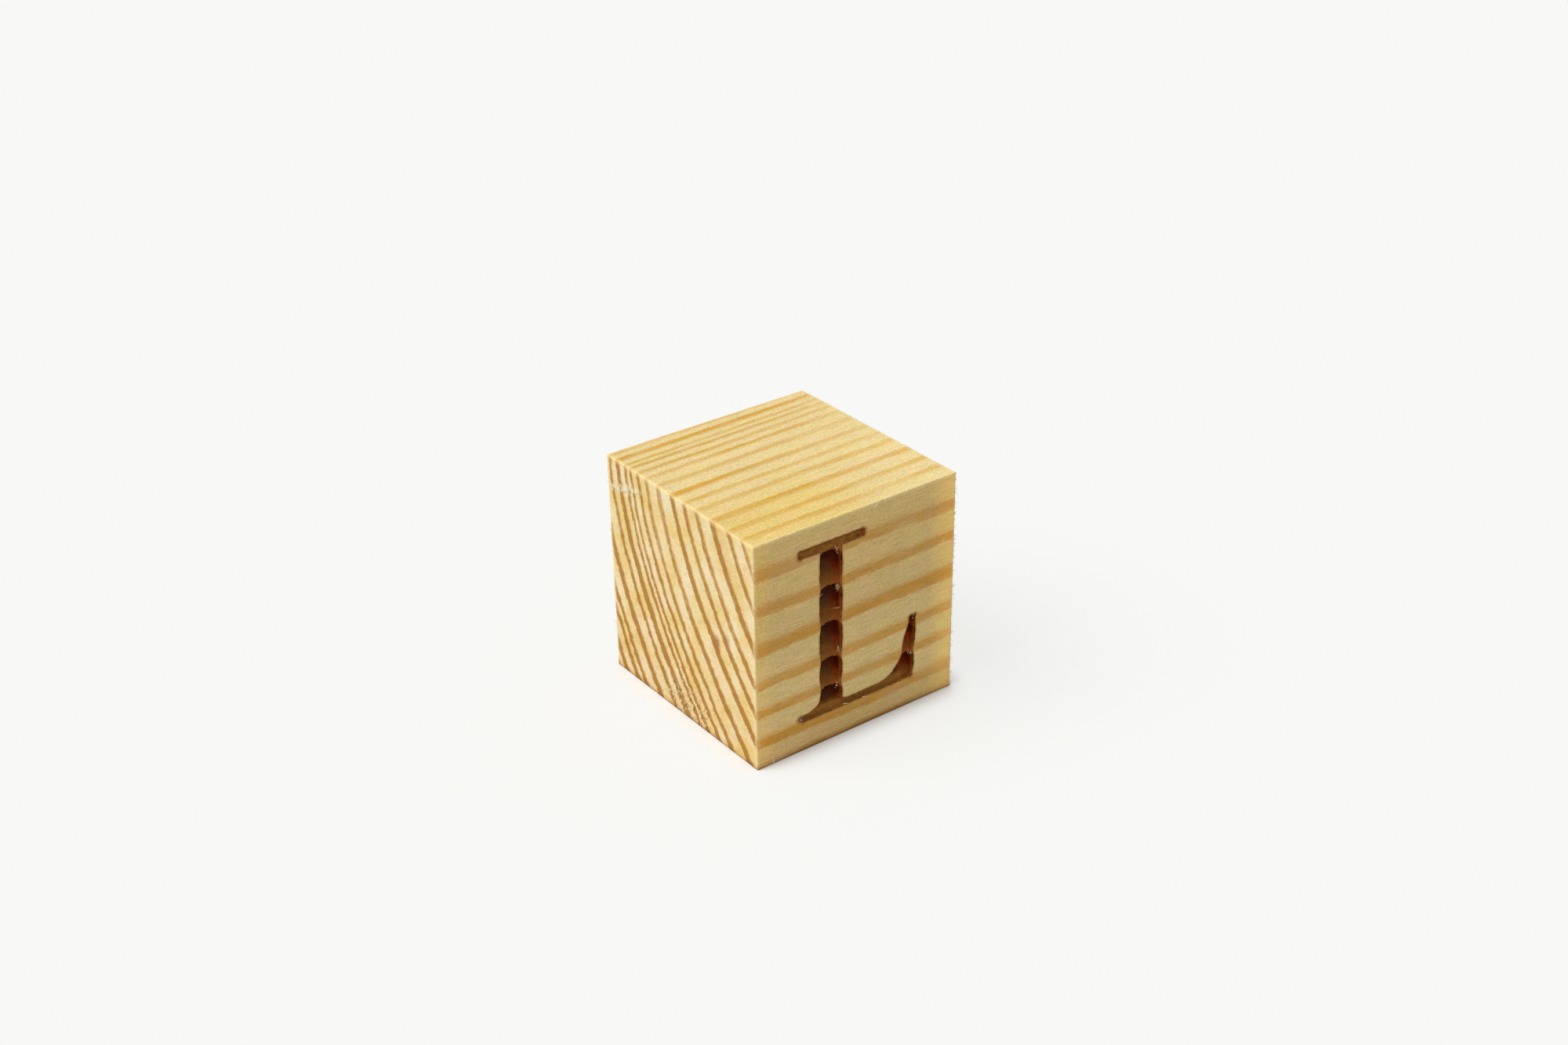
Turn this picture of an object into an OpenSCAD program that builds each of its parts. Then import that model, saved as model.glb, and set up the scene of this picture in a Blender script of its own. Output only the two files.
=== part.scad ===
// Wooden alphabet block: a sawn pine cube with a capital letter burnt into one side.
// Millimetres, +Z up. The origin is the middle of the underside.
// The letter side faces -Y and the grain runs along X.

/* [Block] */
// Length of every side of the cube
block_side = 40; // [38:0.5:50]
// Radius of the lightly worn edges
edge_break = 0.3; // [0.1:0.05:0.6]

/* [Letter] */
// Height of the capital letter
cap_h = 31; // [24:0.5:33]
// Width of the letter from the foot serif's tip to the spur
letter_w = 24; // [20:0.5:28]
// Distance from the side's left edge to the foot serif's tip
letter_left = 8.2; // [5:0.1:11]
// Distance from the underside of the block up to the foot line
letter_sill = 5.3; // [3:0.1:8]
// Width of the upright stem
stem_w = 4.3; // [3:0.1:6]
// Distance from the foot serif's tip to the stem
stem_inset = 4.4; // [4:0.1:6]
// Thickness of the serif at the head
head_serif_t = 1.4; // [1:0.1:2.4]
// Reach of the head serif to the left of the stem
head_left_reach = 4.2; // [2:0.1:6]
// Reach of the head serif to the right of the stem
head_right_reach = 4.5; // [2:0.1:8]
// Thickness of the foot serif and of the arm
foot_serif_t = 1.2; // [1:0.1:2.4]
// Width of the curved bracket between the stem and the foot serif
bracket_w = 3.2; // [1.5:0.1:3.6]
// Height of that bracket
bracket_h = 1.7; // [0.8:0.1:3]
// Radius between the stem and the arm
crotch_r = 0.7; // [0.3:0.1:1.5]
// Radius between the arm and the spur
arm_curve_r = 5; // [3:0.1:7]
// Height of the spur above the foot line
spur_h = 11.6; // [8.5:0.1:16]
// Width of the spur at its top
spur_top_w = 1.4; // [1:0.1:2.4]
// How far the spur's outer side draws in towards the foot line
spur_taper = 0.6; // [0:0.1:1.2]
// Lean of the spur's inner side from upright, in degrees
spur_lean = 14.4; // [5:0.2:25]
// Radius of the rounded ends of the serifs
end_corner_r = 0.35; // [0.3:0.05:0.4]
// Slope of the foot serif's cut end, in degrees
foot_tip_slope = 35; // [25:1:60]

/* [Engraving] */
// Depth of the burnt recess just below a growth ring's hard line
engrave_depth = 2.5; // [1.8:0.1:5]
// How much shallower the recess is on the hard lines
ridge_rise = 1.8; // [0.6:0.1:2]
// Width of each hard line
ridge_w = 0.9; // [0.4:0.1:1.6]
// Thickness of the charred wood that lines the recess
char_t = 0.2; // [0.1:0.05:0.25]

/* [Torn fibres] */
// Thickness of a torn fibre at its root
fibre_d = 0.24; // [0.15:0.01:0.4]
// Length of the longest torn fibre, which reaches across the stem
fibre_len = 1.9; // [1:0.1:2.5]
// Thickness of a torn fibre at its tip
fibre_tip_d = 0.1; // [0.05:0.01:0.12]

/* [Hidden] */

half_side = block_side / 2;
arc_steps = 8;
curve_steps = 16;
round_fn = 48;

// What a cutting shape sticks out past the surface that it cuts
overrun = 1;

// Hard growth lines on the letter side, from the top edge down, as shares of the side
ring_line_shares = [0, 0.13, 0.285, 0.455, 0.605, 0.75, 0.89, 1];

// Torn fibres on the stem's right wall, one row each:
// height in the letter, depth in the recess, length, and lean from level in degrees
fibre_shares = [
    [0.93, 0.3, 0.45, 55],
    [0.7, 0.28, 0.55, 70],
    [0.58, 0.2, 1, 14],
    [0.12, 0.3, 0.5, 60]
];

stem_x0 = stem_inset;
stem_x1 = stem_inset + stem_w;
head_z0 = cap_h - head_serif_t;
head_x0 = stem_x0 - head_left_reach;
head_x1 = stem_x1 + head_right_reach;
head_fillet_r = end_corner_r;
spur_x0 = letter_w - spur_top_w;
foot_x1 = letter_w - spur_taper;

// Where the foot serif's sloping end meets the foot line
foot_tip_x = end_corner_r * (1 - sin(foot_tip_slope));
foot_tip_z = foot_serif_t - end_corner_r * (1 + cos(foot_tip_slope));
foot_x0 = foot_tip_x + foot_tip_z / tan(foot_tip_slope);

// Where the arm's curve meets the leaning inner side of the spur
arm_end_z = foot_serif_t + arm_curve_r * (1 - sin(spur_lean));
arm_cx = spur_x0 - (spur_h - arm_end_z) * tan(spur_lean) - arm_curve_r * cos(spur_lean);
arm_cz = foot_serif_t + arm_curve_r;

// Points on an ellipse's arc about [cx, cz]
function arc(cx, cz, rx, rz, a0, a1, steps) =
    [for (i = [0 : steps]) let (a = a0 + (a1 - a0) * i / steps) [cx + rx * cos(a), cz + rz * sin(a)]];

// Outline of the letter, anticlockwise, from the foot line's left end
letter_outline = concat(
    [[foot_x0, 0]],
    arc(foot_x1 - end_corner_r, end_corner_r, end_corner_r, end_corner_r, -90, 0, arc_steps),
    [[letter_w, spur_h], [spur_x0, spur_h]],
    arc(arm_cx, arm_cz, arm_curve_r, arm_curve_r, -spur_lean, -90, curve_steps),
    arc(stem_x1 + crotch_r, foot_serif_t + crotch_r, crotch_r, crotch_r, -90, -180, arc_steps),
    arc(stem_x1 + head_fillet_r, head_z0 - head_fillet_r, head_fillet_r, head_fillet_r, 180, 90, arc_steps),
    arc(head_x1 - end_corner_r, head_z0 + end_corner_r, end_corner_r, end_corner_r, -90, 0, arc_steps),
    arc(head_x1 - end_corner_r, cap_h - end_corner_r, end_corner_r, end_corner_r, 0, 90, arc_steps),
    arc(head_x0 + end_corner_r, cap_h - end_corner_r, end_corner_r, end_corner_r, 90, 180, arc_steps),
    arc(head_x0 + end_corner_r, head_z0 + end_corner_r, end_corner_r, end_corner_r, 180, 270, arc_steps),
    [[stem_x0, head_z0]],
    arc(stem_x0 - bracket_w, foot_serif_t + bracket_h, bracket_w, bracket_h, 0, -90, curve_steps),
    arc(end_corner_r, foot_serif_t - end_corner_r, end_corner_r, end_corner_r, 90, 270 - foot_tip_slope,
        arc_steps)
);

// Unit vector that points into an anticlockwise outline from its side a to b
function inward(a, b) = [a[1] - b[1], b[0] - a[0]] / norm(b - a);

// The outline drawn in by a distance all round
function inset(points, distance) =
    distance == 0 ? points :
    let (n = len(points))
    [for (i = [0 : n - 1])
        let (
            before = inward(points[(i + n - 1) % n], points[i]),
            after = inward(points[i], points[(i + 1) % n])
        )
        points[i] + distance * (before + after) / (1 + before * after)
    ];

// Height of a hard growth line on the letter side
function ring_z(share) = block_side * (1 - share);

// Section of the recess from the mouth to its floor, as [y, z] points. The floor is deepest
// just below each hard line, rises towards the next one and runs level along it.
function floor_section(mouth_y) =
    let (
        deep_y = -half_side + engrave_depth,
        ridge_y = deep_y - ridge_rise
    )
    concat(
        [[mouth_y, block_side]],
        [for (i = [0 : len(ring_line_shares) - 2])
            let (
                top_z = ring_z(ring_line_shares[i]),
                low_z = ring_z(ring_line_shares[i + 1])
            )
            each [[deep_y, top_z], [ridge_y, low_z + ridge_w], [ridge_y, low_z]]
        ],
        [[mouth_y, 0]]
    );

// The letter as a prism through the side, drawn in by a lining's thickness
module letter_prism(lining, mouth) {
    translate([-half_side + letter_left, -half_side + engrave_depth + overrun, letter_sill])
        rotate([90, 0, 0])
            linear_extrude(engrave_depth + overrun + mouth)
                polygon(inset(letter_outline, lining));
}

// The stepped floor as a prism along the grain
module floor_prism(lining, mouth) {
    translate([-half_side, -lining, -lining])
        rotate([90, 0, 90])
            linear_extrude(block_side)
                polygon(floor_section(-half_side - mouth));
}

// The hollow that the burning leaves, drawn in by a lining's thickness
module recess(lining, mouth) {
    intersection() {
        letter_prism(lining, mouth);
        floor_prism(lining, mouth);
    }
}

// A square with rounded corners about the origin
module rounded_square(side, r) {
    inner = side - 2 * r;
    square([side, inner], center = true);
    square([inner, side], center = true);
    for (sx = [-1, 1])
        for (sy = [-1, 1])
            translate([sx * inner / 2, sy * inner / 2])
                circle(r, $fn = round_fn);
}

// A cube about the origin with worn edges
module worn_cube(side, r) {
    intersection_for (turn = [[0, 0, 0], [90, 0, 0], [0, 90, 0]])
        rotate(turn)
            linear_extrude(side, center = true)
                rounded_square(side, r);
}

// A fibre that tapers from its root in the stem's right wall and leans up to the left
module torn_fibre(height_share, depth_share, length_share, lean) {
    wall_x = -half_side + letter_left + stem_x1;
    root_z = letter_sill + cap_h * height_share;
    root_y = -half_side + engrave_depth * depth_share;
    translate([wall_x, root_y, root_z])
        rotate([90, lean, 0])
            linear_extrude(fibre_d, center = true)
                polygon([
                    [0, -fibre_d / 2],
                    [0, fibre_d / 2],
                    [-fibre_len * length_share, fibre_tip_d / 2],
                    [-fibre_len * length_share, -fibre_tip_d / 2]
                ]);
}

// The pine cube with the recess burnt into it
module block() {
    color([0.89, 0.80, 0.57])
        difference() {
            translate([0, 0, half_side])
                worn_cube(block_side, edge_break);
            recess(0, overrun);
        }
}

// The charred wood that lines the recess
module letter_char() {
    color([0.33, 0.14, 0.06])
        difference() {
            recess(0, 0);
            recess(char_t, overrun);
        }
}

// The torn fibres, each rooted on the charred wall
module torn_fibres() {
    color([0.93, 0.88, 0.74])
        intersection() {
            union() {
                for (row = fibre_shares)
                    torn_fibre(row[0], row[1], row[2], row[3]);
            }
            recess(char_t, 0);
        }
}

block();
letter_char();
torn_fibres();
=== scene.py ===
# The finish of a wooden alphabet block: sawn pine, growth rings and a burnt capital letter.
# Lengths in the mesh code are millimetres; meshes are handed over in metres.
import math
from types import SimpleNamespace

import bmesh
import bpy
import numpy as np
from mathutils import Matrix, Vector, noise
from mathutils.geometry import delaunay_2d_cdt


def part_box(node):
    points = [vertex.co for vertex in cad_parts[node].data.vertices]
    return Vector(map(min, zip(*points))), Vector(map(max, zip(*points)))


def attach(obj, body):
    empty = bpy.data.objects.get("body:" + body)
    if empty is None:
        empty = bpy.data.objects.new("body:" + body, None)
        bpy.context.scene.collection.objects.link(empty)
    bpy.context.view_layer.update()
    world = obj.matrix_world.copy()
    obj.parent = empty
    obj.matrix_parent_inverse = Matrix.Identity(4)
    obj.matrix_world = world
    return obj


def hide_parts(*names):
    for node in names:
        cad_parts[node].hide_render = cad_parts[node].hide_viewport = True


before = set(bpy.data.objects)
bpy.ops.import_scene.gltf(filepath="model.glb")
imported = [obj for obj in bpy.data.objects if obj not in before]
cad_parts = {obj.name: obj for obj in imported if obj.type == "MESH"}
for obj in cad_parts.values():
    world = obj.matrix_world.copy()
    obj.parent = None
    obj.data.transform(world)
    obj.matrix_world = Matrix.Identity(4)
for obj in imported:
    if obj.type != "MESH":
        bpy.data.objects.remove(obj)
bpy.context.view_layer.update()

bl_info = {
    "name": "Alphabet Block Finish",
    "version": (1, 0, 0),
    "blender": (4, 5, 0),
    "location": "View3D > Sidebar > Alphabet Block",
    "description": "Dresses a pine block with growth rings, worn edges and a burnt letter",
    "category": "Object",
}

MM = 0.001
BODY = "root"

# The block's side, and the letter's place and size, from the frame
BLOCK_LOW, BLOCK_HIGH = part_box("block")
CHAR_LOW, CHAR_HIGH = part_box("letter_char")
SIDE = (BLOCK_HIGH.z - BLOCK_LOW.z) / MM
HALF = SIDE / 2
LETTER_LEFT = CHAR_LOW.x / MM
LETTER_RIGHT = CHAR_HIGH.x / MM
LETTER_SILL = CHAR_LOW.z / MM
LETTER_TOP = CHAR_HIGH.z / MM
LETTER_WIDTH = (CHAR_HIGH.x - CHAR_LOW.x) / MM
LETTER_HEIGHT = (CHAR_HIGH.z - CHAR_LOW.z) / MM
LETTER_DEPTH = (CHAR_HIGH.y - CHAR_LOW.y) / MM

# Growth rings, from the bark side to the pith side: the dark line's place in millimetres
# from the block's top back edge, half its width, and how strong it is along the grain at
# the block's left, middle and right.
RINGS = (
    (-13.2, 0.9, 0.7, 0.7, 0.7),
    (-10.9, 0.8, 0.7, 0.7, 0.7),
    (-9.0, 0.9, 0.8, 0.7, 0.7),
    (-6.7, 0.8, 0.8, 0.8, 0.7),
    (-5.1, 0.8, 0.7, 0.7, 0.8),
    (-2.3, 1.1, 0.9, 0.8, 0.8),
    (0.8, 0.8, 0.7, 0.8, 0.6),
    (3.1, 1.1, 1.5, 1.15, 0.8),
    (5.4, 0.7, 0.9, 0.9, 0.45),
    (6.9, 0.7, 0.8, 1.2, 0.5),
    (9.0, 0.8, 0.9, 0.8, 0.45),
    (11.3, 0.9, 0.55, 1.05, 0.2),
    (14.6, 1.1, 0.65, 0.65, 0.3),
    (18.5, 1.1, 1.6, 1.0, 0.3),
    (21.9, 1.0, 0.85, 0.65, 0.45),
    (25.2, 1.1, 0.75, 0.7, 0.7),
    (29.3, 1.35, 1.0, 0.95, 0.9),
    (33.5, 1.1, 0.8, 0.7, 0.9),
    (37.2, 1.1, 0.65, 0.75, 0.65),
    (41.0, 0.6, 0.3, 0.2, 0.4),
)
# From a dark line's middle to its sharp bark side
RING_EDGE = 0.55
# Each line's sharp bark side, its core and its soft halo: where each starts to darken and
# where it is full, in half widths from the line's middle, and the core's share of the colour
BARK = (-0.60, -0.25)
CORE = (0.85, 0.35)
HALO = (1.35, 0.30)
CORE_SHARE = 0.55

# The rings' lean, and their drift over the block's length: the value at the top back edge, then
# the factors of forwards, down, forwards times down, and down squared, in millimetres
LEAN = (0.052, 0.0109, 0.0089, -0.000066, -0.000084)
DRIFT = (0.945, -0.0047, -0.0145, -0.00257, 0.00257)

# Marks on the left end, each as its middle and its half sizes, forwards and down in
# millimetres from the top back edge. The scratch and the tan patch slope as they run.
SCRATCH = (4.5, 5.8, 6.5, 1.0)
SCRATCH_SLOPE = 0.27
TEAR = (21.0, 38.0, 8.5, 6.0)
STAIN = (29.8, 21.6, 1.2, 2.0)
SMALL_STAIN = (32.6, 20.0, 1.0, 1.8)
TAN_PATCH = (31.0, 3.0, 2.4, 13.0)
TAN_SLOPE = 0.44
TORN_DIPS = ((22.5, 38.5, 9.0, 5.5), (4.5, 4.6, 5.6, 1.5))

# The grid's extra lines beside each edge, and where its even lines start
EDGE_BAND = (0, 0.07, 0.14, 0.22, 0.32, 0.46, 0.7)
EVEN_FROM = 1.0
# The rings of points that lie round the lip on the block's face, how far each point of the
# outer ones must be from the lip, and how far the grid's own points must be
COLLAR_GAPS = (0.12, 0.2, 0.32, 0.5)
COLLAR_KEEPS = (0.17, 0.28, 0.45)
GRID_KEEP = 0.62
# The bare recess under the char: how far out from the lip and how deep its loops lie
RECESS_LOOPS = ((0.05, 0.03), (0.0, 0.10), (0.0, LETTER_DEPTH))
# How far from the lip the wood's face is browned, and over which length that fades
BROWNED = 0.55
BROWNED_FADE = 0.5
# The charred wall: how far in from the lip, and that place's share of the floor's depth
WALL_INSETS = (0.0, 0.04, 0.08, 0.12, 0.16, 0.20, 0.25, 0.32)
WALL_SHARES = (0.0, 0.14, 0.30, 0.46, 0.62, 0.76, 0.90, 1.0)
# The char's lip below the face, its floor's grid, how far down its rim stays bright, and how
# far its outer side is drawn in and lies clear of the lip and of the bare floor
LIP_DEPTH = 0.05
CHAR_GRID = 0.26
BRIGHT_RIM = 0.9
UNDER_INSET = 0.02
UNDER_DROP = 0.04
UNDER_RISE = 0.02
# The loops that the lip is drawn in or out by: how far apart, and how many each way
MARCH_STEP = 0.02
MARCH_COUNT = 30

# The floor that curves up far behind the block: its reach, where its bend starts, the bend's
# radius and steps, and the level direction that the camera looks in
FLOOR_REACH = 1600
BEND_START = 1120
BEND_RADIUS = 500
BEND_STEPS = 24
VIEW_X, VIEW_Y = 0.598, 0.802

# The camera, in millimetres, and what is right, down and ahead in its picture
CAMERA_PLACE = Vector((-173.206, -233.26, 185.25))
CAMERA_RIGHT = Vector((0.79784626, -0.60274878, -0.0116298))
CAMERA_DOWN = Vector((-0.29347958, -0.37147752, -0.88083721))
CAMERA_AHEAD = Vector((0.52660335, 0.70618578, -0.47327641))


def rgb(red, green, blue):
    """A colour given as it looks on a screen, from 0 to 255, as linear values."""
    def linear(channel):
        share = channel / 255
        return share / 12.92 if share <= 0.04045 else ((share + 0.055) / 1.055) ** 2.4
    return (linear(red), linear(green), linear(blue))


def opaque(colour):
    """A colour with full alpha, as a colour socket takes it."""
    return (*colour[:3], 1.0)


# Growth rings, as expressions that take numbers, arrays or shader values

def clamped(value):
    """The value held between 0 and 1."""
    if isinstance(value, Shade):
        return value.math("ADD", 0.0, clamp=True)
    return np.clip(value, 0, 1)


def bent(back, down, terms):
    """A value that changes forwards and down from the top back edge."""
    start, forwards, falling, twist, bend = terms
    return start + back * forwards + down * falling + back * down * twist + down * down * bend


def ring_place(x, y, z):
    """Where a point lies across the growth rings, in millimetres towards the pith."""
    back = HALF - y
    down = SIDE - z
    along = (x + HALF) * (1 / SIDE)
    return back - down * bent(back, down, LEAN) + along * bent(back, down, DRIFT)


def line_gap(place):
    """Distance across the rings to the nearest dark line."""
    return np.abs(np.subtract.outer(place, [ring[0] for ring in RINGS])).min(axis=-1)


def ring_phase(place):
    """How far a place is from one dark line, at 0, out to the next one, at 1."""
    lines = np.array([ring[0] - RING_EDGE for ring in RINGS])
    index = np.interp(place, lines, np.arange(len(lines)))
    return np.ceil(index) - index


def spot(u, v, centre_u, centre_v, radius_u, radius_v):
    """1 in the middle of an ellipse, falling to 0 at its rim."""
    across = (u - centre_u) * (1 / radius_u)
    down = (v - centre_v) * (1 / radius_v)
    return clamped(1 - (across * across + down * down))


# Shader values with arithmetic

class Shade:
    """A node's output that Python's operators can work with."""

    def __init__(self, graph, output):
        self.graph = graph
        self.output = output

    def math(self, operation, *others, clamp=False):
        settings = {"operation": operation, "use_clamp": clamp}
        return self.graph.add("ShaderNodeMath", settings, dict(enumerate((self, *others))))

    def smooth(self, low, high):
        """A soft step from 0 at low to 1 at high, which may be the lesser of the two."""
        settings = {"interpolation_type": "SMOOTHSTEP"}
        return self.graph.add("ShaderNodeMapRange", settings, {0: self, 1: low, 2: high})

    def __add__(self, other):
        return self.math("ADD", other)

    def __mul__(self, other):
        return self.math("MULTIPLY", other)

    def __sub__(self, other):
        return self.math("SUBTRACT", other)

    def __rsub__(self, other):
        return self.graph.add("ShaderNodeMath", {"operation": "SUBTRACT"}, {0: other, 1: self})

    def __abs__(self):
        return self.math("ABSOLUTE")

    __radd__ = __add__
    __rmul__ = __mul__


class Graph:
    """The node tree of a material or of the world."""

    def __init__(self, owner):
        self.owner = owner
        self.axes = None
        owner.use_nodes = True
        owner.node_tree.nodes.clear()

    def add(self, kind, settings=None, inputs=None, output=0):
        """A node of a kind, with its settings, then its sockets' values or links."""
        tree = self.owner.node_tree
        node = tree.nodes.new(kind)
        for name, value in (settings or {}).items():
            setattr(node, name, value)
        for key, value in (inputs or {}).items():
            if isinstance(value, Shade):
                tree.links.new(value.output, node.inputs[key])
            else:
                node.inputs[key].default_value = value
        return Shade(self, node.outputs[output]) if node.outputs else None

    def split(self, vector):
        return [self.add("ShaderNodeSeparateXYZ", inputs={0: vector}, output=i) for i in range(3)]

    def place(self):
        """The object's own coordinates in millimetres, as three values."""
        if not self.axes:
            inputs = {0: self.add("ShaderNodeTexCoord", output="Object"), "Scale": 1 / MM}
            self.axes = self.split(self.add("ShaderNodeVectorMath", {"operation": "SCALE"}, inputs))
        return self.axes

    def facing(self):
        """The flat face's own direction, as three values."""
        return self.split(self.add("ShaderNodeNewGeometry", output="True Normal"))

    def vector(self, x, y, z):
        return self.add("ShaderNodeCombineXYZ", inputs={0: x, 1: y, 2: z})

    def noise(self, x, y, z, detail=2.0, rough=0.5):
        """Noise about 0, mostly from -1 to 1, with one wave for each unit."""
        inputs = {"Vector": self.vector(x, y, z), "Scale": 1.0, "Detail": detail, "Roughness": rough}
        return (self.add("ShaderNodeTexNoise", inputs=inputs) - 0.5) * 3.0

    def field(self, along, across, detail=2.0, rough=0.5):
        """Noise with so many waves a millimetre along the grain and across it."""
        x, y, z = self.place()
        return self.noise(x * along, y * across, z * across, detail, rough)

    def mix(self, share, one, other, kind="MIX"):
        """One colour that turns by a share into another, or into its product with the other."""
        settings = {"data_type": "RGBA", "blend_type": kind}
        inputs = {0: share}
        for key, colour in ((6, one), (7, other)):
            inputs[key] = colour if isinstance(colour, Shade) else opaque(colour)
        return self.add("ShaderNodeMix", settings, inputs, output=2)

    def tinted(self, share, colour, tint):
        """A colour that takes on a tint by a share."""
        return self.mix(share, colour, tint, "MULTIPLY")

    def lit(self, colour, gain):
        """A colour made lighter or darker by a gain about 1."""
        return self.tinted(1.0, colour, self.vector(gain, gain, gain))

    def latewood(self, place, along, evenness):
        """How much dark latewood there is, from 0 to 1, at a place across the rings."""
        varied = 1 - evenness
        shares = self.vector(varied, along * varied, along * (1 - along) * 4 * varied)
        total = 0
        for line, reach, left, centre, right in RINGS:
            bark, core, halo = (place.smooth(line + reach * rim, line + reach * full)
                                for rim, full in (BARK, CORE, HALO))
            terms = (left, right - left, centre - (left + right) / 2)
            strength = self.add(
                "ShaderNodeVectorMath", {"operation": "DOT_PRODUCT"}, {0: shares, 1: terms}, "Value")
            shape = bark * (core * CORE_SHARE + halo * (1 - CORE_SHARE))
            total = total + shape * (strength + evenness)
        return total

    def attribute(self, name):
        return self.add("ShaderNodeAttribute", {"attribute_name": name}, output="Fac")

    def finish(self, colour, roughness, height, relief, gloss):
        """The material, whose fine relief is in millimetres for each unit of height."""
        inputs = {"Height": height, "Distance": relief * MM, "Strength": 1.0}
        bump = self.add("ShaderNodeBump", inputs=inputs)
        inputs = {"Base Color": colour, "Roughness": clamped(roughness), "Normal": bump,
                  "Specular IOR Level": gloss}
        surface = self.add("ShaderNodeBsdfPrincipled", inputs=inputs)
        self.add("ShaderNodeOutputMaterial", inputs={"Surface": surface})
        return self.owner


# Meshes

def make_mesh(name, verts, faces, material, attributes=None):
    """An object from points in millimetres, smooth shaded, with point attributes."""
    mesh = bpy.data.meshes.new(name)
    mesh.from_pydata((np.asarray(verts) * MM).tolist(), [], faces)
    mesh.update()
    mesh.validate()
    for key, values in (attributes or {}).items():
        layer = mesh.attributes.new(key, "FLOAT", "POINT")
        layer.data.foreach_set("value", np.asarray(values, np.float32))
    mesh.shade_smooth()
    mesh.materials.append(material)
    thing = bpy.data.objects.new(name, mesh)
    bpy.context.scene.collection.objects.link(thing)
    return thing


def recalculate(piece):
    """Turns every face of a closed piece outwards."""
    work = bmesh.new()
    work.from_mesh(piece.data)
    bmesh.ops.recalc_face_normals(work, faces=work.faces)
    work.to_mesh(piece.data)
    work.free()


def seat(piece, node):
    """Rides a piece on the block's body and hides the CAD node it stands for, if any."""
    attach(piece, BODY)
    if node:
        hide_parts(node)


def rough_noise(points, size, seed):
    """Smooth noise about 0 at each point, with lumps of about that size."""
    shift = Vector((seed * 17.3, seed * 5.1, seed * 9.7))
    return np.array([noise.noise(Vector(point) / size + shift) for point in points])


def flat_noise(points, size, seed):
    """The same for points of the letter side, given as x and z."""
    return rough_noise(np.column_stack([points, np.zeros(len(points))]), size, seed)


def at_depth(flat, depth):
    """Points given as x and z, set at a depth behind the plane of the letter side."""
    return np.stack([flat[:, 0], np.zeros(len(flat)) + depth - HALF, flat[:, 1]], axis=1)


def ramp(values, start, reach):
    """0 where values start, climbing evenly to 1 after a reach, which may be negative."""
    return np.clip((values - start) / reach, 0, 1)


def arc(cx, cz, rx, rz, start, end, steps):
    """Points on an ellipse's arc, with angles in degrees."""
    angles = np.radians(np.linspace(start, end, steps + 1))
    return [(cx + rx * math.cos(a), cz + rz * math.sin(a)) for a in angles]


def letter_corners(sizes):
    """Outline of the letter, anticlockwise, from the foot line's left end, in its own frame."""
    stem_0 = sizes.stem_inset
    stem_1 = stem_0 + sizes.stem_w
    head = LETTER_HEIGHT - sizes.head_serif_t
    head_0 = stem_0 - sizes.head_left_reach
    head_1 = stem_1 + sizes.head_right_reach
    foot = sizes.foot_serif_t
    foot_1 = LETTER_WIDTH - sizes.spur_taper
    spur_0 = LETTER_WIDTH - sizes.spur_top_w
    crotch = sizes.crotch_r
    curve = sizes.arm_curve_r
    corner = sizes.end_corner_r
    tip_x = corner * (1 - math.sin(sizes.foot_tip_slope))
    tip_z = foot - corner * (1 + math.cos(sizes.foot_tip_slope))
    foot_0 = tip_x + tip_z / math.tan(sizes.foot_tip_slope)
    arm_z = foot + curve * (1 - math.sin(sizes.spur_lean))
    arm_x = spur_0 - (sizes.spur_h - arm_z) * math.tan(sizes.spur_lean) - curve * math.cos(sizes.spur_lean)
    lean = math.degrees(sizes.spur_lean)
    slope = math.degrees(sizes.foot_tip_slope)

    def end_corner(cx, cz, start, end):
        return arc(cx, cz, corner, corner, start, end, 8)

    return (
        [(foot_0, 0)]
        + end_corner(foot_1 - corner, corner, -90, 0)
        + [(LETTER_WIDTH, sizes.spur_h), (spur_0, sizes.spur_h)]
        + arc(arm_x, foot + curve, curve, curve, -lean, -90, 16)
        + arc(stem_1 + crotch, foot + crotch, crotch, crotch, -90, -180, 8)
        + end_corner(stem_1 + corner, head - corner, 180, 90)
        + end_corner(head_1 - corner, head + corner, -90, 0)
        + end_corner(head_1 - corner, LETTER_HEIGHT - corner, 0, 90)
        + end_corner(head_0 + corner, LETTER_HEIGHT - corner, 90, 180)
        + end_corner(head_0 + corner, head + corner, 180, 270)
        + [(stem_0, head)]
        + arc(stem_0 - sizes.bracket_w, foot + sizes.bracket_h, sizes.bracket_w, sizes.bracket_h, 0, -90, 16)
        + end_corner(corner, foot - corner, 90, 270 - slope)
    )


def resample(points, spacing):
    """A closed outline with its points evenly spaced."""
    closed = np.array(list(points) + [points[0]], float)
    steps = np.linalg.norm(np.diff(closed, axis=0), axis=1)
    run = np.concatenate([[0], np.cumsum(steps)])
    count = int(round(run[-1] / spacing))
    at = np.arange(count) * run[-1] / count
    return np.stack([np.interp(at, run, closed[:, i]) for i in (0, 1)], axis=1)


def smooth_loop(values, passes):
    """Values round a closed loop, each drawn towards its neighbours."""
    for _ in range(passes):
        values = (np.roll(values, 1, axis=0) + 2 * values + np.roll(values, -1, axis=0)) / 4
    return values


def loop_normals(points):
    """Unit vectors out of an anticlockwise loop."""
    tangent = np.roll(points, -1, axis=0) - np.roll(points, 1, axis=0)
    outward = np.stack([tangent[:, 1], -tangent[:, 0]], axis=1)
    return outward / np.linalg.norm(outward, axis=1)[:, None]


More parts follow.
